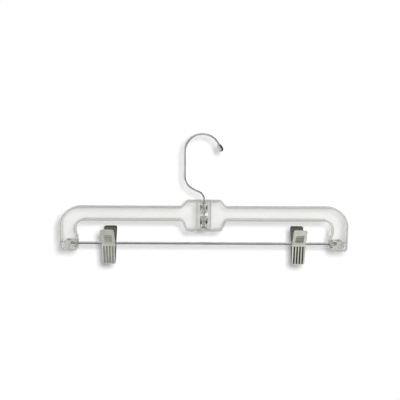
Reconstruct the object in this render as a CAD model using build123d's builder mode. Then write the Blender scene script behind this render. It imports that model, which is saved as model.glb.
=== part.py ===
from build123d import *
from math import atan2, cos, degrees, radians, sin, sqrt
import os

os.makedirs("parts", exist_ok=True)

# Skirt hanger, seen from the front: X to the right, Y away from the viewer, Z up.
# The origin is where the crown of the hook rests on a rail.

# Every cut runs past the face that it opens by this much.
overrun = 1.0

# Hook wire
wire_dia = 2.5
hook_radius = 21.55
mouth_angle = 26.0
hook_leg = 29.8
shank_offset = 2.1
sway_angle = 64.0
shoulder_radius = 17.3
neck_radius = 9.7
shank_reveal = 1.0

# Cap on the free end of the hook
tip_dia = 6.4
tip_length = 10.0
tip_neck_dia = 3.8
tip_socket = 5.0

# Collar on the shank, which carries the frame
collar_dia = 6.8
collar_thickness = 1.5
collar_gap = 0.1

# Clear frame: an I section that follows the outline of the hanger
frame_span = 355.6
frame_depth = 11.0
flange_thickness = 2.0
web_thickness = 1.6
arm_height = 17.6
outer_corner_radius = 25.0
inner_corner_radius = 11.0
leg_width = 19.2
gusset_drop = 14.8

# Hub housing
hub_height = 38.3
hub_rise = 7.8
hub_top_width = 42.2
hub_shoulder_width = 56.4
hub_waist_width = 55.0
hub_foot_width = 43.2
hub_corner_radius = 3.0
hub_blend_radius = 4.0
housing_rib_thickness = 1.4
housing_rib_spacing = 16.6
boss_dia = 9.3
upper_boss_height = 14.5
window_height = 6.3
shank_clearance = 0.08
shank_end_gap = 0.5

# End blocks, which hold the rod
block_reach = 1.7
block_height = 17.4
block_corner_radius = 3.0
rod_above_block_foot = 8.4
socket_boss_dia = 10.4
stop_boss_dia = 9.9
stop_boss_inset = 8.3
core_hole_dia = 4.0

# Plain raised ring on the right arm
ring_dia = 5.6
ring_width = 0.8
ring_rise = 0.3
ring_inset = 57.6

# Rod
rod_dia = 3.2
rod_drop = 29.0
rod_grip = 8.1
rod_chamfer = 0.4
rod_clearance = 0.1
rod_end_gap = 0.3

# Clips: two pressed plates that are pinned together by a sleeve
clip_inset = 38.9
sheet = 0.8
clip_width = 16.8
handle_lean = 26.0
handle_reach = 23.6
handle_corner_radius = 3.2
knee_rise = 1.5
bend_radius = 2.0
jaw_reach = 26.6
jaw_tip_width = 15.0
jaw_corner_radius = 2.0
jaw_gap = 0.2
ear_radius = 3.2
ear_root = 4.0
ear_gap = 0.2
ear_clearance = 0.05

# Pressed ribs: across the handle and along the jaw, where the outermost run off the plate's sides
ridge_count = 4
ridge_pitch = 2.9
ridge_length = 10.0
ridge_width = 2.0
ridge_rise = 0.55
ridge_edge_distance = 9.6
flute_count = 5
flute_pitch = 3.5
flute_width = 2.3
flute_head_margin = 2.2
flute_foot_margin = 0.9
rib_draft = 48.0

# Pads
pad_thickness = 1.0
pad_height = 6.0
pad_side_gap = 0.6
pad_corner_radius = 1.6

# Sleeve
sleeve_wall = 0.5
sleeve_clearance = 0.1
flare_dia = 6.2
flare_thickness = 0.5
flare_gap = 0.1

# Torsion spring round the sleeve
spring_wire = 0.9
spring_radius = 3.2
spring_pitch = 1.5
spring_half_turns = 11
spring_leg = 13.0
leg_gap = 0.05
spring_sample_steps = 40

# Hook places
arc_z = wire_dia / 2 - hook_radius
leg_foot_z = arc_z - hook_leg
sway = radians(sway_angle)
bend_sum = shoulder_radius + neck_radius
sway_run = (shank_offset + hook_radius - bend_sum * (1 - cos(sway))) / sin(sway)
neck_z = leg_foot_z - bend_sum * sin(sway) - sway_run * cos(sway)
mouth = radians(mouth_angle)
mouth_point = Vector(hook_radius * cos(mouth), 0, arc_z + hook_radius * sin(mouth))
mouth_heading = Vector(sin(mouth), 0, -cos(mouth))

# Frame places
hub_top_z = neck_z - shank_reveal
hub_foot_z = hub_top_z - hub_height
arm_top_z = hub_top_z - hub_rise
arm_foot_z = arm_top_z - arm_height
window_top_z = hub_top_z - upper_boss_height
rod_z = arm_foot_z - rod_drop
block_foot_z = rod_z - rod_above_block_foot
block_top_z = block_foot_z + block_height
leg_inner_x = frame_span / 2 - leg_width
block_inner_x = leg_inner_x - block_reach
stop_boss_x = frame_span / 2 - stop_boss_inset
ring_x = leg_inner_x - ring_inset
rod_length = 2 * (block_inner_x + rod_grip)
pocket_depth = (frame_depth - web_thickness) / 2
shank_end_z = hub_foot_z + flange_thickness + shank_end_gap
frame_plane = Plane(origin=(shank_offset, 0, 0), x_dir=(1, 0, 0), z_dir=(0, -1, 0))

# Clip places, measured outwards and upwards from the rod's axis
sleeve_bore = rod_dia + 2 * sleeve_clearance
sleeve_dia = sleeve_bore + 2 * sleeve_wall
ear_hole_dia = sleeve_dia + 2 * ear_clearance
clip_distance = block_inner_x - clip_inset
lean = radians(handle_lean)
handle_out = Vector(cos(lean), -sin(lean))
handle_up = Vector(sin(lean), cos(lean))
standoff = spring_radius + spring_wire / 2 + leg_gap
handle_top = handle_out * standoff + handle_up * handle_reach
knee = handle_out * standoff + handle_up * knee_rise
jaw_tip = Vector(jaw_gap / 2 + pad_thickness, -jaw_reach)
jaw_slope = atan2(knee.X - jaw_tip.X, knee.Y - jaw_tip.Y)
jaw_out = Vector(cos(jaw_slope), -sin(jaw_slope))
jaw_up = Vector(sin(jaw_slope), cos(jaw_slope))
jaw_length = (knee - jaw_tip).length


def sheet_face(level):
    """Distance of the plate's inner face from the rod's axis, at a level above it."""
    if level > knee.Y:
        return knee.X + (level - knee.Y) * handle_up.X / handle_up.Y
    return knee.X + (level - knee.Y) * jaw_up.X / jaw_up.Y


def rib_plane(centre, facing, place, out):
    """Plane on a plate: origin at place, normal outwards, its Y axis up the plate."""
    origin = centre + Vector(0, facing * place.X, place.Y)
    return Plane(origin=origin, x_dir=(-facing, 0, 0), z_dir=(0, facing * out.X, out.Y))


# Hook: crown, leg, two bends and the shank, in one wire
with BuildPart() as hook:
    with BuildLine(Plane.XZ) as hook_path:
        stub = Line(mouth_point + mouth_heading * tip_socket, mouth_point)
        crown = CenterArc((0, arc_z), hook_radius, mouth_angle, 180 - mouth_angle)
        leg = Line(crown @ 1, (-hook_radius, leg_foot_z))
        shoulder = JernArc(leg @ 1, leg % 1, shoulder_radius, sway_angle)
        run = Line(shoulder @ 1, (shoulder @ 1) + (shoulder % 1) * sway_run)
        neck = JernArc(run @ 1, run % 1, neck_radius, -sway_angle)
        shank = Line(neck @ 1, (shank_offset, shank_end_z))
    with BuildSketch(Plane(origin=stub @ 0, z_dir=stub % 0)):
        Circle(wire_dia / 2)
    sweep(path=hook_path.line)
hook.part.label = "hook"
export_step(hook.part, "parts/hook.step")

# Cap on the hook's free end, a bullet with a socket for the wire
tip_plane = Plane(origin=mouth_point, x_dir=mouth_heading, z_dir=(0, -1, 0))
with BuildPart() as hook_tip:
    with BuildSketch(tip_plane):
        with BuildLine():
            swell = TangentArc(
                (tip_length - tip_dia / 2, tip_dia / 2), (0, tip_neck_dia / 2), tangent=(-1, 0)
            )
            CenterArc((tip_length - tip_dia / 2, 0), tip_dia / 2, 0, 90)
            Polyline(
                (tip_length, 0),
                (tip_socket, 0),
                (tip_socket, wire_dia / 2),
                (0, wire_dia / 2),
                (0, tip_neck_dia / 2),
            )
        make_face()
    revolve(axis=Axis(tip_plane.origin, tip_plane.x_dir))
hook_tip.part.label = "hook_tip"
export_step(hook_tip.part, "parts/hook_tip.step")

# Collar pressed on the shank, under the upper boss of the hub
with BuildPart() as hook_collar:
    with BuildSketch(Plane.XY.offset(window_top_z - collar_gap)):
        with Locations((shank_offset, 0)):
            Circle(collar_dia / 2)
            Circle(wire_dia / 2, mode=Mode.SUBTRACT)
    extrude(amount=-collar_thickness)
hook_collar.part.label = "hook_collar"
export_step(hook_collar.part, "parts/hook_collar.step")

# Frame: outline, pockets that leave the web, hub, end blocks
with BuildPart() as frame:
    with BuildSketch(frame_plane) as outline:
        with BuildLine():
            FilletPolyline(
                (0, hub_top_z),
                (hub_top_width / 2, hub_top_z),
                (hub_shoulder_width / 2, arm_top_z),
                (frame_span / 2, arm_top_z),
                (frame_span / 2, block_foot_z),
                (block_inner_x, block_foot_z),
                (block_inner_x, block_top_z),
                (leg_inner_x, arm_foot_z - gusset_drop),
                (leg_inner_x, arm_foot_z),
                (hub_waist_width / 2, arm_foot_z),
                (hub_foot_width / 2, hub_foot_z),
                (0, hub_foot_z),
                radius=[
                    hub_corner_radius,
                    hub_blend_radius,
                    outer_corner_radius,
                    block_corner_radius,
                    block_corner_radius,
                    block_corner_radius,
                    block_corner_radius,
                    inner_corner_radius,
                    hub_blend_radius,
                    hub_corner_radius,
                ],
            )
            mirror(about=Plane.YZ)
        make_face()
    extrude(amount=frame_depth / 2, both=True)
    for face_side in (-1, 1):
        with BuildSketch(frame_plane.offset(face_side * web_thickness / 2)):
            add(outline.sketch_local)
            offset(amount=-flange_thickness)
        extrude(amount=face_side * (pocket_depth + overrun), mode=Mode.SUBTRACT)
    with BuildSketch(frame_plane):
        with Locations((0, hub_top_z - hub_height / 2)):
            with GridLocations(housing_rib_spacing, 0, 2, 1):
                Rectangle(housing_rib_thickness, hub_height - flange_thickness)
    extrude(amount=frame_depth / 2, both=True)
    with BuildSketch(Plane.XY.offset(hub_top_z - flange_thickness / 2)):
        with Locations((shank_offset, 0)):
            Circle(boss_dia / 2)
    extrude(amount=-(hub_height - flange_thickness))
    with BuildSketch(frame_plane):
        with Locations((0, window_top_z - window_height / 2)):
            Rectangle(boss_dia, window_height)
    extrude(amount=frame_depth, both=True, mode=Mode.SUBTRACT)
    with BuildSketch(Plane.XY.offset(hub_top_z + overrun)):
        with Locations((shank_offset, 0)):
            Circle(wire_dia / 2 + shank_clearance)
    extrude(amount=shank_end_z - shank_end_gap - hub_top_z - overrun, mode=Mode.SUBTRACT)
    for side in (-1, 1):
        block_plane = Plane(
            origin=(shank_offset + side * block_inner_x, 0, rod_z),
            x_dir=(0, 1, 0),
            z_dir=(side, 0, 0),
        )
        with BuildSketch(block_plane):
            Circle(socket_boss_dia / 2)
        extrude(amount=stop_boss_x - block_inner_x)
        with BuildSketch(frame_plane):
            with Locations((side * stop_boss_x, rod_z)):
                Circle(stop_boss_dia / 2)
        extrude(amount=frame_depth / 2, both=True)
        with BuildSketch(block_plane.offset(-overrun)):
            Circle(rod_dia / 2 + rod_clearance)
        extrude(amount=rod_grip + rod_end_gap + overrun, mode=Mode.SUBTRACT)
        with BuildSketch(block_plane.offset(frame_span / 2 - block_inner_x + overrun)):
            Circle(core_hole_dia / 2)
        extrude(amount=-(flange_thickness + overrun), mode=Mode.SUBTRACT)
    with BuildSketch(frame_plane.offset(web_thickness / 2)):
        with Locations((ring_x, arm_top_z - arm_height / 2)):
            Circle(ring_dia / 2)
            Circle(ring_dia / 2 - ring_width, mode=Mode.SUBTRACT)
    extrude(amount=ring_rise)
frame.part.label = "frame"
export_step(frame.part, "parts/frame.step")

# Rod between the end blocks
with BuildPart() as rod:
    with BuildSketch(Plane(origin=(shank_offset, 0, rod_z), x_dir=(0, 1, 0), z_dir=(1, 0, 0))):
        Circle(rod_dia / 2)
    extrude(amount=rod_length / 2, both=True)
    chamfer(rod.edges().filter_by(GeomType.CIRCLE), length=rod_chamfer)
rod.part.label = "rod"
export_step(rod.part, "parts/rod.step")


def clip_half(centre, facing, ear_face, label):
    """One pressed plate with its ears, ribs and flutes."""
    side_plane = Plane(origin=centre, x_dir=(0, facing, 0), z_dir=(facing, 0, 0))
    plan_plane = Plane(origin=centre, x_dir=(1, 0, 0), z_dir=(0, -1, 0))
    with BuildPart() as half:
        with BuildSketch(side_plane):
            with BuildLine():
                FilletPolyline(handle_top, knee, jaw_tip, radius=bend_radius)
                offset(amount=sheet, side=Side.LEFT)
            make_face()
        extrude(amount=clip_width / 2, both=True)
        for ridge in range(ridge_count):
            rise = handle_reach - ridge_edge_distance - ridge * ridge_pitch
            place = handle_out * (standoff + sheet) + handle_up * rise
            with BuildSketch(rib_plane(centre, facing, place, handle_out)):
                SlotOverall(ridge_length, ridge_width)
            extrude(amount=ridge_rise, taper=rib_draft)
        flute_length = jaw_length - flute_head_margin - flute_foot_margin
        flute_middle = jaw_tip + jaw_up * (flute_foot_margin + flute_length / 2) + jaw_out * sheet
        with BuildSketch(rib_plane(centre, facing, flute_middle, jaw_out)):
            with GridLocations(flute_pitch, 0, flute_count, 1):
                SlotOverall(flute_length, flute_width, rotation=90)
        extrude(amount=ridge_rise, taper=rib_draft)
        with BuildSketch(plan_plane):
            with BuildLine():
                FilletPolyline(
                    (0, handle_top.Y + overrun),
                    (clip_width / 2, handle_top.Y),
                    (clip_width / 2, -ear_root),
                    (jaw_tip_width / 2, -jaw_reach),
                    (0, -jaw_reach),
                    radius=[handle_corner_radius, jaw_corner_radius, jaw_corner_radius],
                )
                mirror(about=Plane.YZ)
            make_face()
        extrude(amount=handle_top.X + clip_width, both=True, mode=Mode.INTERSECT)
        for side in (-1, 1):
            ear_plane = side_plane.offset(side * ear_face)
            with BuildSketch(ear_plane):
                with BuildLine():
                    CenterArc((0, 0), ear_radius, 0, 360)
                    Line(
                        (sheet_face(ear_root) + sheet / 4, ear_root),
                        (sheet_face(-ear_root) + sheet / 4, -ear_root),
                    )
                make_hull()
            extrude(amount=-side * sheet)
        with BuildSketch(side_plane):
            Circle(ear_hole_dia / 2)
        extrude(amount=clip_width, both=True, mode=Mode.SUBTRACT)
    half.part.label = label
    export_step(half.part, "parts/" + label + ".step")


def clip_pad(centre, facing, label):
    """Soft pad on the inner face of a jaw's tip."""
    side_plane = Plane(origin=centre, x_dir=(0, facing, 0), z_dir=(facing, 0, 0))
    foot = jaw_tip
    head = jaw_tip + jaw_up * pad_height
    inset = Vector(pad_thickness, 0)
    with BuildPart() as pad:
        with BuildSketch(side_plane):
            with BuildLine():
                Polyline(foot, head, head - inset, foot - inset, close=True)
            make_face()
        extrude(amount=jaw_tip_width / 2 - pad_side_gap, both=True)
        fillet(pad.edges().filter_by(Axis.Y), radius=pad_corner_radius)
    pad.part.label = label
    export_step(pad.part, "parts/" + label + ".step")


def spring_turn(number, angle):
    """Point on one half turn of the coil, at an angle from its start."""
    side = 1 if number % 2 else -1
    tilt = spring_pitch / 4
    reach = sqrt(spring_radius**2 + tilt**2)
    along = spring_pitch * (number / 2 + 1 / 4 - spring_half_turns / 4)
    turn = radians(angle)
    return Vector(
        along - tilt * cos(turn),
        side * spring_radius * cos(turn),
        side * reach * sin(turn),
    )


def clip_spring(centre, label):
    """Coil of tilted half turns, with a straight leg up inside each handle."""
    with BuildPart() as spring:
        with BuildLine() as coil:
            arcs = []
            for number in range(spring_half_turns):
                first = handle_lean if number == 0 else 0
                last = 180 - handle_lean if number == spring_half_turns - 1 else 180
                points = [spring_turn(number, first + (last - first) * part / 2) for part in range(3)]
                arcs.append(ThreePointArc(*[centre + point for point in points]))
            first_leg = Line(arcs[0] @ 0 - (arcs[0] % 0) * spring_leg, arcs[0] @ 0)
            Line(arcs[-1] @ 1, arcs[-1] @ 1 + (arcs[-1] % 1) * spring_leg)
        with BuildSketch(Plane(origin=first_leg @ 0, z_dir=first_leg % 0)):
            Circle(spring_wire / 2)
        sweep(path=coil.line)
    spring.part.label = label
    export_step(spring.part, "parts/" + label + ".step")


def spring_clearance():
    """Least gap between neighbouring turns, measured on points of the wire's axis."""
    turns = [
        spring_turn(number, 180 * step / spring_sample_steps)
        for number in range(spring_half_turns)
        for step in range(spring_sample_steps)
    ]
    return min(
        (first - second).length - spring_wire
        for place, first in enumerate(turns)
        for second in turns[place + spring_sample_steps :]
    )


def clip_sleeve(centre, label):
    """Flared tube that pins the two plates and slides on the rod."""
    body_length = clip_width + 2 * flare_gap
    axis_plane = Plane(origin=centre, x_dir=(0, 1, 0), z_dir=(1, 0, 0))
    with BuildPart() as sleeve:
        with BuildSketch(axis_plane):
            Circle(sleeve_dia / 2)
        extrude(amount=body_length / 2 + flare_thickness, both=True)
        for side in (-1, 1):
            with BuildSketch(axis_plane.offset(side * body_length / 2)):
                Circle(flare_dia / 2)
            extrude(amount=side * flare_thickness)
        with BuildSketch(axis_plane):
            Circle(sleeve_bore / 2)
        extrude(amount=body_length, both=True, mode=Mode.SUBTRACT)
    sleeve.part.label = label
    export_step(sleeve.part, "parts/" + label + ".step")


# The two clips are alike. The rear plate's ears lie inside the front plate's.
outer_ear_face = clip_width / 2
inner_ear_face = clip_width / 2 - sheet - ear_gap
for clip_name, clip_side in (("left", -1), ("right", 1)):
    clip_centre = Vector(shank_offset + clip_side * clip_distance, 0, rod_z)
    clip_half(clip_centre, -1, outer_ear_face, clip_name + "_front_jaw")
    clip_half(clip_centre, 1, inner_ear_face, clip_name + "_rear_jaw")
    clip_pad(clip_centre, -1, clip_name + "_front_pad")
    clip_pad(clip_centre, 1, clip_name + "_rear_pad")
    clip_spring(clip_centre, clip_name + "_spring")
    clip_sleeve(clip_centre, clip_name + "_pivot_sleeve")

print("rod level", round(rod_z, 2), "hub top", round(hub_top_z, 2), "window top", round(window_top_z, 2))
print("least gap between turns of a spring", round(spring_clearance(), 3))
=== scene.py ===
import bpy
import bmesh
from math import cos, pi, radians, sin, sqrt
from mathutils import Matrix, Vector


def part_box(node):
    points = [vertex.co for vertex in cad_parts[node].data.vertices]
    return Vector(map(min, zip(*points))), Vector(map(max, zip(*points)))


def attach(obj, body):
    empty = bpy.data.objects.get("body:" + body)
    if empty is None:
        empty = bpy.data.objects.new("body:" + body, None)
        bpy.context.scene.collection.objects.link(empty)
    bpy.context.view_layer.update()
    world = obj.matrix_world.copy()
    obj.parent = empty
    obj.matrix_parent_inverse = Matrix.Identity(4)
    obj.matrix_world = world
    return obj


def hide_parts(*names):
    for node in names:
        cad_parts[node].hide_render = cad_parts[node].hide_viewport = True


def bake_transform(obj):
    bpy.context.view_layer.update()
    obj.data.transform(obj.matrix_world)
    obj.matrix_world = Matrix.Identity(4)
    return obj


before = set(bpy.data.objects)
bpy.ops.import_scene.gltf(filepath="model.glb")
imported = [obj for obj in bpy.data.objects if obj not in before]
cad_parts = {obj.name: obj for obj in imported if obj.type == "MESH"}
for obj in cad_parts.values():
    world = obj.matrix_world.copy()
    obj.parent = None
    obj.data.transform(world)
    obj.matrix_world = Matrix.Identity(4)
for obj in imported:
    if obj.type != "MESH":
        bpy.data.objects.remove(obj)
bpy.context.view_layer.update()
mm = 0.001

scene = bpy.context.scene
scene.view_settings.view_transform = "Standard"
print("skirt hanger: frame loaded,", len(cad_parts), "nodes")


# object helpers

def addObject(name, data):
    obj = bpy.data.objects.new(name, data)
    scene.collection.objects.link(obj)
    return obj


def addMesh(name, bm):
    mesh = bpy.data.meshes.new(name)
    bm.to_mesh(mesh)
    bm.free()
    return addObject(name, mesh)


def unseenBy(obj, *rays):
    for ray in rays:
        setattr(obj, "visible_" + ray, False)


# node helpers

def feed(tree, socket, value):
    # a link where the value comes from another node, and the value itself where it is fixed
    if isinstance(value, bpy.types.NodeSocket):
        tree.links.new(value, socket)
    else:
        socket.default_value = value


def grey(level):
    return level, level, level, 1


def blendColours(tree, factor, first, second, kind="MIX"):
    node = tree.nodes.new("ShaderNodeMix")
    node.data_type = "RGBA"
    node.blend_type = kind
    for name, value in (("Factor", factor), ("A", first), ("B", second)):
        feed(tree, node.inputs[name], value)
    return node.outputs["Result"]


def tinted(tree, colour, tint):
    return blendColours(tree, 1, colour, tint, "MULTIPLY")


def twoTone(tree, value, dark, pale):
    return blendColours(tree, value, (*dark, 1), (*pale, 1))


def mixShaders(tree, factor, first, second):
    node = tree.nodes.new("ShaderNodeMixShader")
    for socket, value in zip(node.inputs, (factor, first, second)):
        tree.links.new(value, socket)
    return node.outputs[0]


def maths(tree, kind, first, second=0):
    node = tree.nodes.new("ShaderNodeMath")
    node.operation = kind
    for socket, value in zip(node.inputs, (first, second)):
        feed(tree, socket, value)
    return node.outputs[0]


def spread(tree, value, low, high, fromLow=0.3, fromHigh=0.7, kind="LINEAR"):
    node = tree.nodes.new("ShaderNodeMapRange")
    node.interpolation_type = kind
    node.inputs["From Min"].default_value = fromLow
    node.inputs["From Max"].default_value = fromHigh
    node.inputs["To Min"].default_value = low
    node.inputs["To Max"].default_value = high
    tree.links.new(value, node.inputs["Value"])
    return node.outputs["Result"]


def softStep(tree, value, start, end):
    # 0 before start, 1 after end, smooth between; it runs down where start is past end
    return spread(tree, value, 0, 1, start, end, kind="SMOOTHSTEP")


def aslantShare(tree, start, end):
    # 0 where a ray meets a face squarely, 1 where it meets it aslant
    facing = tree.nodes.new("ShaderNodeLayerWeight")
    facing.inputs["Blend"].default_value = 0.5    # makes Facing one minus the cosine
    return spread(tree, facing.outputs["Facing"], 0, 1, start, end)


def levels(tree, direction, stops):
    # a grey level for each direction from -1 to 1, with the stops given from 0 to 1
    ramp = tree.nodes.new("ShaderNodeValToRGB")
    elements = ramp.color_ramp.elements
    while len(elements) < len(stops):
        elements.new(0.5)    # its real place comes below
    for element, (place, level) in zip(elements, stops):
        element.position = place
        element.color = grey(level)
    tree.links.new(spread(tree, direction, 0, 1, fromLow=-1, fromHigh=1), ramp.inputs[0])
    return ramp.outputs["Color"]


def axes(tree, vector):
    node = tree.nodes.new("ShaderNodeSeparateXYZ")
    tree.links.new(vector, node.inputs[0])
    return node.outputs


def objectPlace(tree, stretch=(1, 1, 1)):
    where = tree.nodes.new("ShaderNodeTexCoord")
    mapping = tree.nodes.new("ShaderNodeMapping")
    mapping.inputs["Scale"].default_value = stretch
    tree.links.new(where.outputs["Object"], mapping.inputs["Vector"])
    return mapping.outputs["Vector"]


def noise(tree, vector, scale, detail=3, roughness=0.55):
    node = tree.nodes.new("ShaderNodeTexNoise")
    node.inputs["Scale"].default_value = scale
    node.inputs["Detail"].default_value = detail
    node.inputs["Roughness"].default_value = roughness
    tree.links.new(vector, node.inputs["Vector"])
    return node.outputs["Fac"]


def bump(tree, value, strength, depth, under=None):
    node = tree.nodes.new("ShaderNodeBump")
    node.inputs["Strength"].default_value = strength
    node.inputs["Distance"].default_value = depth
    tree.links.new(value, node.inputs["Height"])
    if under is not None:
        tree.links.new(under, node.inputs["Normal"])
    return node.outputs["Normal"]


def sourceOf(shader, name):
    return shader.inputs[name].links[0].from_socket


# camera, at the photograph's angle, set from the hanger's width in the picture

cameraSet = {
    "pictureSize": 400,      # px
    "frameWidth": 288.5,     # px, the frame's span in the picture
    "frameSpan": 355.6 * mm,
    "distance": 600 * mm,
    "elevation": 8,          # degrees above the horizon
    "roll": 0.25,            # degrees
    "aim": (-2.7 * mm, 0, -79.4 * mm),
    "sensor": 36,
    "nearest": 10 * mm,
}


def makeCamera(s):
    tilt = radians(s["elevation"])
    back = Vector((0, -cos(tilt), sin(tilt)))
    up = Vector((0, sin(tilt), cos(tilt)))
    right = Vector((1, 0, 0))
    facing = Matrix((right, up, back)).transposed() @ Matrix.Rotation(radians(s["roll"]), 3, "Z")
    data = bpy.data.cameras.new("camera")
    data.sensor_width = s["sensor"]
    focalPixels = s["frameWidth"] / s["frameSpan"] * s["distance"]
    data.lens = focalPixels / s["pictureSize"] * s["sensor"]
    data.clip_start = s["nearest"]
    camera = addObject("camera", data)
    camera.matrix_world = Matrix.Translation(Vector(s["aim"]) + back * s["distance"]) @ facing.to_4x4()
    scene.camera = camera


makeCamera(cameraSet)
print("camera set")


# light: a large soft box from the upper right and a weak one from the left light the object and the
# paper close behind it; a small lamp beside the camera throws the soft shadow on the far wall alone

lightSet = {
    "key": {"place": (0.80, -1.45, 0.72), "size": 0.8, "power": 15},
    "fill": {"place": (-1.3, -1.1, 0.1), "size": 1.2, "power": 5},
    "aim": (0, 0, -0.08),
    "shadow": {"right": 0.017, "up": 0.016, "radius": 0.019, "power": 0.71},    # right and up from the camera
    "plain": 0.25,    # what dull surfaces get from the room
    # what polished metal and clear plastic see of the room, from below to above and from left to right
    "glossByHeight": (
        (0.0, 0.1), (0.02, 0.2), (0.05, 0.85), (0.15, 0.6), (0.32, 1.0), (0.38, 0.8), (0.42, 0.8), (0.5, 1.0),
        (0.62, 0.5), (0.86, 0.4), (0.93, 1.0),
    ),
    "glossBySide": ((0.0, 1.0), (0.15, 1.0), (0.4, 0.8), (0.62, 1.0), (0.76, 0.2), (1.0, 0.1)),
    "clearByHeight": ((0.0, 0.9), (0.58, 1.0), (0.72, 0.4), (0.9, 0.4), (0.97, 0.9)),
    "clearBySide": (
        (0.0, 1.0), (0.08, 0.75), (0.3, 0.75), (0.36, 1.0), (0.64, 1.0), (0.70, 0.75), (0.92, 0.75),
        (1.0, 1.0),
    ),
}


def makeLamp(name, s, aim):
    data = bpy.data.lights.new(name, "AREA")
    data.shape = "SQUARE"
    data.size = s["size"]
    data.energy = s["power"]
    lamp = addObject(name, data)
    unseenBy(lamp, "glossy", "transmission")
    lamp.location = s["place"]
    lamp.rotation_mode = "QUATERNION"
    lamp.rotation_quaternion = (Vector(aim) - Vector(s["place"])).to_track_quat("-Z", "Y")
    return lamp


def makeShadowLamp(s):
    # its light doesn't fall off, so the wall stays evenly white round the shadow
    data = bpy.data.lights.new("shadowLamp", "POINT")
    data.shadow_soft_size = s["radius"]
    data.energy = 1
    data.use_nodes = True
    tree = data.node_tree
    falloff = tree.nodes.new("ShaderNodeLightFalloff")
    falloff.inputs["Strength"].default_value = s["power"] * 4 * pi * pi    # a point lamp divides by this
    tree.links.new(falloff.outputs["Constant"], tree.nodes["Emission"].inputs["Strength"])
    lamp = addObject("shadowLamp", data)
    unseenBy(lamp, "glossy")
    lamp.location = scene.camera.matrix_world @ Vector((s["right"], s["up"], 0))
    return lamp


def makeRoom(s):
    world = bpy.data.worlds.new("room")
    scene.world = world
    world.use_nodes = True
    tree = world.node_tree
    tree.nodes.clear()
    out = tree.nodes.new("ShaderNodeOutputWorld")
    light = tree.nodes.new("ShaderNodeBackground")
    path = tree.nodes.new("ShaderNodeLightPath")
    where = tree.nodes.new("ShaderNodeTexCoord")
    direction = axes(tree, where.outputs["Generated"])
    side, height = direction["X"], direction["Z"]
    gloss = tinted(tree, levels(tree, height, s["glossByHeight"]), levels(tree, side, s["glossBySide"]))
    clear = tinted(tree, levels(tree, height, s["clearByHeight"]), levels(tree, side, s["clearBySide"]))
    room = blendColours(tree, path.outputs["Is Glossy Ray"], grey(s["plain"]), gloss)
    room = blendColours(tree, path.outputs["Is Transmission Ray"], room, clear)
    room = blendColours(tree, path.outputs["Is Camera Ray"], room, grey(1))
    tree.links.new(room, light.inputs["Color"])
    tree.links.new(light.outputs[0], out.inputs["Surface"])


makeRoom(lightSet)
keyLamp = makeLamp("keyBox", lightSet["key"], lightSet["aim"])
fillLamp = makeLamp("fillBox", lightSet["fill"], lightSet["aim"])
shadowLamp = makeShadowLamp(lightSet["shadow"])


# backdrop: paper close behind, seen only through the clear plastic, and a far wall, clear of the turning
# frame, that takes the shadow, turns plain white where it is seen aslant and is see-through from behind

backdropSet = {
    "middle": -0.08,
    "paperBehind": 6.2 * mm,
    "paperHalf": 1.2,
    "paperGrey": 0.97,
    "paperGlow": 0.35,
    "wallBehind": 200.0 * mm,
    "wallHalf": 0.6,
    "wallGrey": 1,
    "wallGlow": 0.10,    # the part of the wall's white that no shadow takes away
    "aslant": (0.06, 0.095),    # how far from face-on the wall starts and ends turning white
    "rough": 0.9,
}


def matWhite(name, level, glow, rough):
    material = bpy.data.materials.new(name)
    material.use_nodes = True
    shader = material.node_tree.nodes["Principled BSDF"]
    shader.inputs["Base Color"].default_value = grey(level)
    shader.inputs["Roughness"].default_value = rough
    shader.inputs["Specular IOR Level"].default_value = 0
    shader.inputs["Emission Color"].default_value = grey(1)
    shader.inputs["Emission Strength"].default_value = glow
    return material


def wallWhite(s):
    material = matWhite("wallWhite", s["wallGrey"], s["wallGlow"], s["rough"])
    tree = material.node_tree
    matt = tree.nodes["Principled BSDF"].outputs[0]
    plain = tree.nodes.new("ShaderNodeEmission").outputs[0]
    through = tree.nodes.new("ShaderNodeBsdfTransparent").outputs[0]
    behind = tree.nodes.new("ShaderNodeNewGeometry").outputs["Backfacing"]
    front = mixShaders(tree, aslantShare(tree, *s["aslant"]), matt, plain)
    tree.links.new(mixShaders(tree, behind, front, through), tree.nodes["Material Output"].inputs["Surface"])
    return material


def makeSheet(name, half, behind, material):
    place = Matrix.Translation((0, behind, backdropSet["middle"])) @ Matrix.Rotation(pi / 2, 4, "X")
    bm = bmesh.new()
    bmesh.ops.create_grid(bm, x_segments=1, y_segments=1, size=half, matrix=place)
    obj = addMesh(name, bm)
    obj.data.materials.append(material)
    return obj


def linkLight(lamp, obj, state):
    # INCLUDE lights this object alone, EXCLUDE all but this one
    group = bpy.data.collections.new(lamp.name + "On")
    group.objects.link(obj)
    group.collection_objects[0].light_linking.link_state = state
    lamp.light_linking.receiver_collection = group


paperWhite = matWhite("paperWhite", backdropSet["paperGrey"], backdropSet["paperGlow"], backdropSet["rough"])
paper = makeSheet("paper", backdropSet["paperHalf"], backdropSet["paperBehind"], paperWhite)
unseenBy(paper, "shadow", "camera", "glossy", "diffuse")
wall = makeSheet("wall", backdropSet["wallHalf"], backdropSet["wallBehind"], wallWhite(backdropSet))
unseenBy(wall, "shadow", "glossy", "transmission", "diffuse")
linkLight(keyLamp, wall, "EXCLUDE")
linkLight(fillLamp, wall, "EXCLUDE")
linkLight(shadowLamp, wall, "INCLUDE")
print("stage set")


# clear styrene: polished, with the mould's faint waves, flow lines and handling scratches

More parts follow.
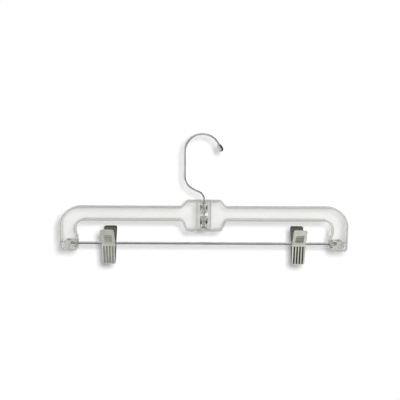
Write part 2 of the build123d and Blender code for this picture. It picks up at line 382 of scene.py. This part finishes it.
clearSet = {
    "tint": (0.965, 0.965, 0.96),
    "tintFlow": (0.945, 0.945, 0.938),
    "ior": 1.57,
    "rough": (0.015, 0.09),
    "waveScale": 140,
    "waveDepth": 0.00004,
    "scratchStretch": (60, 900, 900),
    "scratchDepth": 0.00001,
    "absorb": (0.705, 0.71, 0.665),
    "absorbDensity": 95,
    "shadowSquare": (0.96, 0.96, 0.96),    # what the lamps' light keeps at each face that it meets squarely
    "shadowAslant": (0.15, 0.15, 0.15),    # and at each face that it meets aslant
    "aslant": (0.25, 0.6),    # how far from face-on the one starts and ends turning into the other
}


def emptyMaterial(name):
    material = bpy.data.materials.new(name)
    material.use_nodes = True
    tree = material.node_tree
    tree.nodes.clear()
    out = tree.nodes.new("ShaderNodeOutputMaterial")
    shader = tree.nodes.new("ShaderNodeBsdfPrincipled")
    tree.links.new(shader.outputs[0], out.inputs["Surface"])
    return material, tree, shader


def clearStyrene(s):
    material, tree, shader = emptyMaterial("clearStyrene")
    out = tree.nodes["Material Output"]
    waves = noise(tree, objectPlace(tree), s["waveScale"], detail=2)
    scratches = noise(tree, objectPlace(tree, s["scratchStretch"]), scale=6, detail=4, roughness=0.7)
    shader.inputs["Transmission Weight"].default_value = 1
    shader.inputs["IOR"].default_value = s["ior"]
    flow = spread(tree, waves, 0, 1)
    tree.links.new(twoTone(tree, flow, s["tintFlow"], s["tint"]), shader.inputs["Base Color"])
    rough = spread(tree, scratches, *s["rough"], fromLow=0.45, fromHigh=0.75)
    tree.links.new(rough, shader.inputs["Roughness"])
    wavy = bump(tree, waves, strength=0.35, depth=s["waveDepth"])
    scratched = bump(tree, scratches, strength=0.25, depth=s["scratchDepth"], under=wavy)
    tree.links.new(scratched, shader.inputs["Normal"])
    inside = tree.nodes.new("ShaderNodeVolumeAbsorption")
    inside.inputs["Color"].default_value = (*s["absorb"], 1)
    inside.inputs["Density"].default_value = s["absorbDensity"]
    tree.links.new(inside.outputs[0], out.inputs["Volume"])
    path = tree.nodes.new("ShaderNodeLightPath")
    passing = tree.nodes.new("ShaderNodeBsdfTransparent")
    kept = twoTone(tree, aslantShare(tree, *s["aslant"]), s["shadowSquare"], s["shadowAslant"])
    tree.links.new(kept, passing.inputs["Color"])
    lamps = mixShaders(tree, path.outputs["Is Shadow Ray"], shader.outputs[0], passing.outputs[0])
    tree.links.new(lamps, out.inputs["Surface"])
    return material


# plated and bare metals: a tone that drifts, a grain along the drawing direction, fine pits

metalSets = {
    "hookPlate": {
        "dark": (0.60, 0.60, 0.59), "pale": (0.72, 0.72, 0.71), "rough": (0.06, 0.15),
        "drift": 90, "grain": (900, 900, 60), "grainDepth": 0.000006, "pit": 2600, "pitDepth": 0.000003,
    },
    "rodSteel": {
        "dark": (0.70, 0.70, 0.685), "pale": (0.82, 0.82, 0.80), "rough": (0.08, 0.18),
        "drift": 60, "grain": (40, 1500, 1500), "grainDepth": 0.000006, "pit": 2200, "pitDepth": 0.000003,
    },
    "clipNickel": {
        "dark": (0.60, 0.605, 0.535), "pale": (0.78, 0.785, 0.71), "rough": (0.12, 0.24),
        "drift": 120, "grain": (1300, 500, 160), "grainDepth": 0.000006, "pit": 3200, "pitDepth": 0.000004,
    },
    "sleeveSteel": {
        "dark": (0.46, 0.46, 0.44), "pale": (0.62, 0.62, 0.59), "rough": (0.22, 0.38),
        "drift": 400, "grain": (60, 2000, 2000), "grainDepth": 0.00001, "pit": 3600, "pitDepth": 0.000006,
    },
    "springSteel": {
        "dark": (0.22, 0.22, 0.22), "pale": (0.38, 0.38, 0.37), "rough": (0.26, 0.44),
        "drift": 500, "grain": (900, 900, 900), "grainDepth": 0.000008, "pit": 4200, "pitDepth": 0.000006,
    },
}


def platedMetal(name):
    s = metalSets[name]
    material, tree, shader = emptyMaterial(name)
    shader.inputs["Metallic"].default_value = 1
    place = objectPlace(tree)
    drift = noise(tree, place, s["drift"], detail=4)
    grain = noise(tree, objectPlace(tree, s["grain"]), scale=1, detail=5, roughness=0.65)
    pits = noise(tree, place, s["pit"], detail=2)
    tone = twoTone(tree, spread(tree, drift, 0, 1), s["dark"], s["pale"])
    tree.links.new(tone, shader.inputs["Base Color"])
    tree.links.new(spread(tree, grain, *s["rough"]), shader.inputs["Roughness"])
    pitted = bump(tree, pits, strength=0.3, depth=s["pitDepth"])
    drawn = bump(tree, grain, strength=0.4, depth=s["grainDepth"], under=pitted)
    tree.links.new(drawn, shader.inputs["Normal"])
    return material, tree, shader


# painted shade darkens the rod's underside, fading out just above its axis

rodShadeSet = {"start": -0.2 * mm, "end": 0.5 * mm, "paintedShade": 0.30}    # heights from the rod's axis


def rodWithPaintedShade(s):
    material, tree, shader = platedMetal("rodSteel")
    low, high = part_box("rod")
    middle = (low.z + high.z) / 2
    height = axes(tree, objectPlace(tree))["Z"]
    # painted shade: the colour darkens below the rod's axis
    underShade = spread(tree, height, s["paintedShade"], 1, middle + s["start"], middle + s["end"])
    tree.links.new(tinted(tree, sourceOf(shader, "Base Color"), underShade), shader.inputs["Base Color"])
    return material


# on the clips, painted shade darkens the pressed grooves and the plates' insides; the grooves are also
# rougher

grooveSet = {
    "map": "plateMap",    # mm across the plate and up it from the rod, on its outside
    "off": 99,            # its height on the faces that are off the pattern
    "inside": 199,        # and on the plate's inside
    "flutePitch": 3.5, "fluteTop": -2.0, "fluteFoot": -25.4, "fluteField": 6.6,
    "ridgePitch": 2.9, "ridgeTop": 15.5, "ridgeFoot": 4.7, "ridgeLowest": 5.3, "ridgeField": 5.2,
    "ribTop": 0.55, "ribFoot": 1.15, "soft": 0.5,
    "paintedShade": (0.60, 0.05), "roughMore": 0.12,    # painted shade in the grooves, lighter on the left clip than on the right, and their extra roughness
    # painted shade on the plates' insides
    "insidePaintedShade": 0.42,
}


def pressedGrooves(tree, s, kind, along, up, fromMiddle):
    # 1 in the grooves of one kind, 0 on its ribs and outside the field that they fill
    top, foot, edge, soft = s[kind + "Top"], s[kind + "Foot"], s[kind + "Field"], s["soft"]
    groove = softStep(tree, maths(tree, "PINGPONG", along, s[kind + "Pitch"] / 2), s["ribTop"], s["ribFoot"])
    below, above = softStep(tree, up, top, top - soft), softStep(tree, up, foot, foot + soft)
    field = maths(tree, "MULTIPLY", below, above)
    field = maths(tree, "MULTIPLY", field, softStep(tree, fromMiddle, edge, edge - soft))
    return maths(tree, "MULTIPLY", groove, field)


def groovedNickel(s):
    material, tree, shader = platedMetal("clipNickel")
    place = tree.nodes.new("ShaderNodeUVMap")
    place.uv_map = s["map"]
    plate = axes(tree, place.outputs["UV"])
    across, up = plate["X"], plate["Y"]
    fromMiddle = maths(tree, "ABSOLUTE", across)
    fromLowest = maths(tree, "SUBTRACT", up, s["ridgeLowest"])
    flutes = pressedGrooves(tree, s, "flute", across, up, fromMiddle)
    ridges = pressedGrooves(tree, s, "ridge", fromLowest, up, fromMiddle)
    groove = maths(tree, "MAXIMUM", flutes, ridges)
    colour = sourceOf(shader, "Base Color")
    side = axes(tree, objectPlace(tree))["X"]
    # painted shade in the grooves, lighter on the left clip than on the right
    paintedShade = spread(tree, side, *s["paintedShade"], fromLow=-10 * mm, fromHigh=10 * mm)
    colour = blendColours(tree, groove, colour, tinted(tree, colour, paintedShade))
    # painted shade on the plates' insides
    inside = softStep(tree, up, (s["off"] + s["inside"]) / 2, s["inside"])
    colour = blendColours(tree, inside, colour, tinted(tree, colour, grey(s["insidePaintedShade"])))
    tree.links.new(colour, shader.inputs["Base Color"])
    rough = maths(tree, "ADD", sourceOf(shader, "Roughness"), maths(tree, "MULTIPLY", groove, s["roughMore"]))
    tree.links.new(rough, shader.inputs["Roughness"])
    return material


# soft vinyl of the pads: milky, slightly glossy, with a moulded grain and a little grime

vinylSet = {
    "pale": (0.86, 0.86, 0.83),
    "grime": (0.66, 0.65, 0.60),
    "rough": (0.38, 0.58),
    "milky": 0.3,
    "milkyReach": (0.0012, 0.0011, 0.001),
    "grainScale": 1500,
    "grimeScale": 260,
    "depth": 0.00004,
}


def softVinyl(s):
    material, tree, shader = emptyMaterial("softVinyl")
    place = objectPlace(tree)
    grime = spread(tree, noise(tree, place, s["grimeScale"], detail=5), 0, 1, fromLow=0.35, fromHigh=0.5)
    grain = noise(tree, place, s["grainScale"])
    shader.inputs["Subsurface Weight"].default_value = s["milky"]
    shader.inputs["Subsurface Radius"].default_value = s["milkyReach"]
    tree.links.new(twoTone(tree, grime, s["grime"], s["pale"]), shader.inputs["Base Color"])
    tree.links.new(spread(tree, grain, *s["rough"]), shader.inputs["Roughness"])
    tree.links.new(bump(tree, grain, strength=0.5, depth=s["depth"]), shader.inputs["Normal"])
    return material


materials = {name: platedMetal(name)[0] for name in ("hookPlate", "sleeveSteel", "springSteel")}
materials["rodSteel"] = rodWithPaintedShade(rodShadeSet)
materials["clipNickel"] = groovedNickel(grooveSet)
materials["clearStyrene"] = clearStyrene(clearSet)
materials["softVinyl"] = softVinyl(vinylSet)
print("materials made:", len(materials))


# mesh helpers

def finishPiece(name, bm, body, material, nodes, sharp=32):
    # sharp is the angle in degrees past which an edge stays hard
    obj = addMesh(name, bm)
    obj.data.shade_smooth()
    obj.data.set_sharp_from_angle(angle=radians(sharp))
    obj.data.materials.append(materials[material])
    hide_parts(*nodes)
    if body:
        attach(obj, body)
    return obj


def evenNormals(obj):
    # large faces stay flat and the rounds between them take the turn
    modifier = obj.modifiers.new("evenNormals", "WEIGHTED_NORMAL")
    modifier.keep_sharp = True


def mergedCopy(node, weld=0.002 * mm, flat=0.6):
    bm = bmesh.new()
    bm.from_mesh(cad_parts[node].data)
    bmesh.ops.remove_doubles(bm, verts=bm.verts, dist=weld)
    bmesh.ops.dissolve_limit(bm, angle_limit=radians(flat), verts=bm.verts, edges=bm.edges)
    return bm


def isSharp(edge, angle):
    return edge.is_manifold and edge.calc_face_angle(0) > radians(angle)


def bevelEdges(bm, edges, width, segments=2):
    bmesh.ops.bevel(
        bm, geom=edges, offset=width, offset_type="OFFSET", affect="EDGES",
        segments=segments, profile=0.5, material=-1, clamp_overlap=True,
    )


def ringMove(bm, ring, shift):
    grown = bmesh.ops.extrude_edge_only(bm, edges=ring)["geom"]
    fresh = {v for v in grown if isinstance(v, bmesh.types.BMVert)}
    bmesh.ops.translate(bm, verts=list(fresh), vec=shift)
    return [e for e in grown if isinstance(e, bmesh.types.BMEdge) and set(e.verts) <= fresh]


def ringTurn(bm, ring, centre, axis, angle, steps, rise=(0, 0, 0)):
    grown = bmesh.ops.spin(
        bm, geom=ring, cent=centre, axis=axis, angle=angle, steps=steps,
        dvec=rise, use_duplicate=False, use_merge=False,
    )["geom_last"]
    return [e for e in grown if isinstance(e, bmesh.types.BMEdge)]


def wireRing(bm, radius, sides, matrix):
    bmesh.ops.create_circle(bm, cap_ends=False, segments=sides, radius=radius, matrix=matrix)
    return bm.edges[:]


def capEnds(bm, roundOff):
    openEdges = [e for e in bm.edges if e.is_boundary]
    caps = bmesh.ops.holes_fill(bm, edges=openEdges, sides=0)["faces"]
    rims = list({e for f in caps for e in f.edges})
    bmesh.ops.recalc_face_normals(bm, faces=bm.faces)
    bevelEdges(bm, rims, roundOff)


def turned(points, centre, axis, side, steps, weld=1e-7):
    # a profile of (along, radius) pairs, spun round an axis
    bm = bmesh.new()
    axis = Vector(axis).normalized()
    verts = [bm.verts.new(Vector(centre) + axis * along + Vector(side) * radius) for along, radius in points]
    loop = [bm.edges.new((a, b)) for a, b in zip(verts, verts[1:])]
    if points[0] == points[-1]:
        bmesh.ops.remove_doubles(bm, verts=bm.verts, dist=weld)
        loop = bm.edges[:]
    bmesh.ops.spin(
        bm, geom=loop, cent=centre, axis=axis, angle=2 * pi, steps=steps,
        dvec=(0, 0, 0), use_duplicate=False, use_merge=True,
    )
    bmesh.ops.remove_doubles(bm, verts=bm.verts, dist=weld)
    bmesh.ops.recalc_face_normals(bm, faces=bm.faces)
    return bm


# hook: one bent wire, from the foot of the shank up to the socket of the cap

hookSet = {
    "wire": 2.5 * mm,
    "crownRadius": 21.55 * mm,
    "leg": 29.8 * mm,
    "shankX": 2.1 * mm,
    "swayTurn": 64,      # degrees of the neck's bend and of the shoulder's bend back
    "shoulderRadius": 17.3 * mm,
    "neckRadius": 9.7 * mm,
    "mouthAngle": 26,    # degrees that the crown stops short of a half turn
    "capReach": 5.0 * mm,
    "sides": 28,
    "shankSteps": 8,
    "neckSteps": 14,
    "shoulderSteps": 18,
    "legSteps": 4,
    "crownSteps": 40,
    "endRound": 0.3 * mm,
}


def hookWire(s):
    turn = radians(s["swayTurn"])
    mouth = radians(s["mouthAngle"])
    crownZ = s["wire"] / 2 - s["crownRadius"]
    legFootZ = crownZ - s["leg"]
    bends = s["shoulderRadius"] + s["neckRadius"]
    run = (s["shankX"] + s["crownRadius"] - bends * (1 - cos(turn))) / sin(turn)
    neckZ = legFootZ - bends * sin(turn) - run * cos(turn)
    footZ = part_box("hook")[0].z
    bm = bmesh.new()
    ring = wireRing(bm, s["wire"] / 2, s["sides"], Matrix.Translation((s["shankX"], 0, footZ)))
    for step in range(s["shankSteps"]):
        ring = ringMove(bm, ring, (0, 0, (neckZ - footZ) / s["shankSteps"]))
    neck = (s["shankX"] - s["neckRadius"], 0, neckZ)
    ring = ringTurn(bm, ring, neck, (0, -1, 0), turn, s["neckSteps"])
    ring = ringMove(bm, ring, (-run * sin(turn), 0, run * cos(turn)))
    shoulder = (s["shoulderRadius"] - s["crownRadius"], 0, legFootZ)
    ring = ringTurn(bm, ring, shoulder, (0, 1, 0), turn, s["shoulderSteps"])
    for step in range(s["legSteps"]):
        ring = ringMove(bm, ring, (0, 0, s["leg"] / s["legSteps"]))
    ring = ringTurn(bm, ring, (0, 0, crownZ), (0, 1, 0), pi - mouth, s["crownSteps"])
    ringMove(bm, ring, (sin(mouth) * s["capReach"], 0, -cos(mouth) * s["capReach"]))
    capEnds(bm, s["endRound"])
    finishPiece("hook_wire", bm, "hook_body", "hookPlate", ["hook"])


# cap on the hook's free end

capSet = {
    "length": 10.0 * mm,
    "radius": 3.2 * mm,
    "neck": 1.9 * mm,
    "neckRound": 0.25 * mm,
    "socket": 5.0 * mm,
    "swellShares": (0, 0.12, 0.27, 0.44, 0.62, 0.81, 1),
    "domeSteps": 8,
    "turnSteps": 40,
}


def hookCap(h, s):
    mouth = radians(h["mouthAngle"])
    wire, reach = h["wire"] / 2, h["crownRadius"]
    start = Vector((cos(mouth), 0, sin(mouth))) * reach + Vector((0, 0, wire - reach))
    along = Vector((sin(mouth), 0, -cos(mouth)))
    domeStart = s["length"] - s["radius"]
    rise = s["radius"] - s["neck"]
    swell = (domeStart**2 + rise**2) / (2 * rise)    # radius of the arc from the neck to the widest place
    profile = [(s["socket"], 0), (s["socket"], wire), (0, wire), (0, s["neck"] - s["neckRound"])]
    for share in s["swellShares"]:
        back = (1 - share) * (domeStart - s["neckRound"])
        profile.append((domeStart - back, s["radius"] - swell + sqrt(swell**2 - back**2)))
    for step in range(1, s["domeSteps"] + 1):
        angle = step / s["domeSteps"] * pi / 2
        profile.append((domeStart + s["radius"] * sin(angle), s["radius"] * max(cos(angle), 0)))
    bm = turned(profile, start, along, (0, 1, 0), s["turnSteps"])
    finishPiece("hook_cap", bm, "hook_body", "hookPlate", ["hook_tip"], sharp=40)


# collar on the shank, turned, with two broken edges

collarSet = {"edge": 0.2 * mm, "steps": 36}


def shankCollar(h, s):
    low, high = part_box("hook_collar")
    inner, outer, edge = h["wire"] / 2, (high.x - low.x) / 2, s["edge"]
    top = high.z - low.z
    profile = [
        (0, inner), (0, outer - edge), (edge, outer), (top - edge, outer), (top, outer - edge), (top, inner),
        (0, inner),
    ]
    bm = turned(profile, (h["shankX"], 0, low.z), (0, 0, 1), (1, 0, 0), s["steps"])
    finishPiece("shank_collar", bm, "hook_body", "sleeveSteel", ["hook_collar"])


# rod: drawn bar with chamfered ends

rodSet = {"chamfer": 0.4 * mm, "sides": 36, "lengths": 12}


def clipRod(s):
    low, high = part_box("rod")
    radius = (high.z - low.z) / 2
    length = high.x - low.x
    middle = length - 2 * s["chamfer"]
    profile = [(0, 0), (0, radius - s["chamfer"]), (s["chamfer"], radius)]
    profile += [(s["chamfer"] + middle * step / s["lengths"], radius) for step in range(1, s["lengths"] + 1)]
    profile += [(length, radius - s["chamfer"]), (length, 0)]
    bm = turned(profile, (low.x, 0, (low.z + high.z) / 2), (1, 0, 0), (0, 1, 0), s["sides"])
    finishPiece("clip_rod", bm, "frame_body", "rodSteel", ["rod"])


# frame: the moulding, with the rims of its flanges, ribs and bosses rounded by the mould

frameSet = {"rimRound": 0.32 * mm, "rimSegments": 3, "rimAngle": 50, "faceReach": 0.02 * mm}


def clearFrame(s):
    low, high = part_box("frame")
    bm = mergedCopy("frame")
    rims = []
    for edge in bm.edges:
        onFront = all(abs(v.co.y - low.y) < s["faceReach"] for v in edge.verts)
        onBack = all(abs(v.co.y - high.y) < s["faceReach"] for v in edge.verts)
        if (onFront or onBack) and isSharp(edge, s["rimAngle"]):
            rims.append(edge)
    bevelEdges(bm, rims, s["rimRound"], s["rimSegments"])
    obj = finishPiece(
        "frame_moulding", bm, "frame_body", "clearStyrene", ["frame"], sharp=40
    )
    evenNormals(obj)


# clips: pressed plates with rounded cut edges, sleeve, spring and pads

handleLean = 26    # degrees, of the handles and of the spring's legs inside them

plateSet = {
    "edgeRound": 0.16 * mm,
    "edgeAngle": 40,
    "shortest": 0.35 * mm,
    "knee": -0.27 * mm,    # above the rod's axis
    "jawLean": 6.25,
    "facing": {"front": -1, "rear": 1},
    "turnedAway": 0.4,     # a face counts as the plate's outside or inside past this
}


def mapPlate(bm, centre, facing, s):
    # across and up the plate in mm on its outside, across and a mark elsewhere
    layer = bm.loops.layers.uv.new(grooveSet["map"])
    for face in bm.faces:
        level = face.calc_center_median().z - centre.z
        lean = radians(handleLean if level > s["knee"] else s["jawLean"])
        outward = face.normal.y * facing
        mark = grooveSet["inside"] if outward < -s["turnedAway"] else grooveSet["off"]
        for loop in face.loops:
            offset = loop.vert.co - centre
            up = offset.y * facing * sin(lean) + offset.z * cos(lean)
            loop[layer].uv = (offset.x / mm, up / mm if outward > s["turnedAway"] else mark)


def clipPlate(side, half, s):
    node = side + "_" + half + "_jaw"
    bm = mergedCopy(node)
    cut = [e for e in bm.edges if isSharp(e, s["edgeAngle"]) and e.calc_length() > s["shortest"]]
    bevelEdges(bm, cut, s["edgeRound"])
    low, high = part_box(side + "_pivot_sleeve")
    mapPlate(bm, (low + high) / 2, s["facing"][half], s)
    body = side + "_" + half + "_body"
    obj = finishPiece(side + "_" + half + "_plate", bm, body, "clipNickel", [node], sharp=50)
    evenNormals(obj)


sleeveSet = {"bore": 1.7 * mm, "wall": 0.5 * mm, "flare": 0.5 * mm, "lip": 0.15 * mm, "steps": 36}


def clipSleeve(side, s):
    node = side + "_pivot_sleeve"
    low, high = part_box(node)
    length = high.x - low.x
    outer = (high.z - low.z) / 2
    tube = s["bore"] + s["wall"]
    lip, flare = s["lip"], s["flare"]
    profile = [
        (0, s["bore"]), (0, outer - lip), (lip, outer), (flare - lip, outer), (flare, outer - lip),
        (flare, tube), (length - flare, tube), (length - flare, outer - lip), (length - flare + lip, outer),
        (length - lip, outer), (length, outer - lip), (length, s["bore"]), (0, s["bore"]),
    ]
    bm = turned(profile, (low.x, 0, (low.z + high.z) / 2), (1, 0, 0), (0, 1, 0), s["steps"])
    finishPiece(side + "_sleeve", bm, side + "_sleeve_body", "sleeveSteel", [node])


springSet = {
    "wire": 0.9 * mm,
    "radius": 3.2 * mm,
    "pitch": 1.5 * mm,
    "halfTurns": 11,
    "leg": 13.0 * mm,
    "sides": 16,
    "stepsPerTurn": 36,
    "endRound": 0.15 * mm,
}


def clipSpring(side, s):
    node = side + "_spring"
    low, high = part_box(side + "_pivot_sleeve")
    centre = (low + high) / 2
    lean = radians(handleLean)
    swept = pi * s["halfTurns"] - 2 * lean
    rise = s["pitch"] * swept / (2 * pi)
    start = centre + Vector((-rise / 2, -s["radius"] * cos(lean), -s["radius"] * sin(lean)))
    down = Vector((0, sin(lean), -cos(lean)))
    bm = bmesh.new()
    face = (-down).to_track_quat("Z", "X").to_matrix().to_4x4()
    ring = wireRing(bm, s["wire"] / 2, s["sides"], Matrix.Translation(start - down * s["leg"]) @ face)
    ring = ringMove(bm, ring, down * s["leg"])
    steps = round(s["stepsPerTurn"] * swept / (2 * pi))
    ring = ringTurn(bm, ring, centre, (1, 0, 0), swept, steps, (rise / steps, 0, 0))
    ringMove(bm, ring, Vector((0, sin(lean), cos(lean))) * s["leg"])
    capEnds(bm, s["endRound"])
    obj = finishPiece(side + "_torsion_spring", bm, None, "springSteel", [node])
    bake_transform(obj)


padSet = {"edgeRound": 0.25 * mm, "edgeAngle": 40, "segments": 3}


def jawPad(side, half, s):
    node = side + "_" + half + "_pad"
    bm = mergedCopy(node)
    edges = [e for e in bm.edges if isSharp(e, s["edgeAngle"])]
    bevelEdges(bm, edges, s["edgeRound"], s["segments"])
    body = side + "_" + half + "_body"
    finishPiece(side + "_" + half + "_grip", bm, body, "softVinyl", [node], sharp=40)


hookWire(hookSet)
hookCap(hookSet, capSet)
shankCollar(hookSet, collarSet)
print("hook made")
clearFrame(frameSet)
clipRod(rodSet)
print("frame and rod made")
for side in ("left", "right"):
    clipSleeve(side, sleeveSet)
    clipSpring(side, springSet)
    for half in ("front", "rear"):
        clipPlate(side, half, plateSet)
        jawPad(side, half, padSet)
    print(side, "clip made")
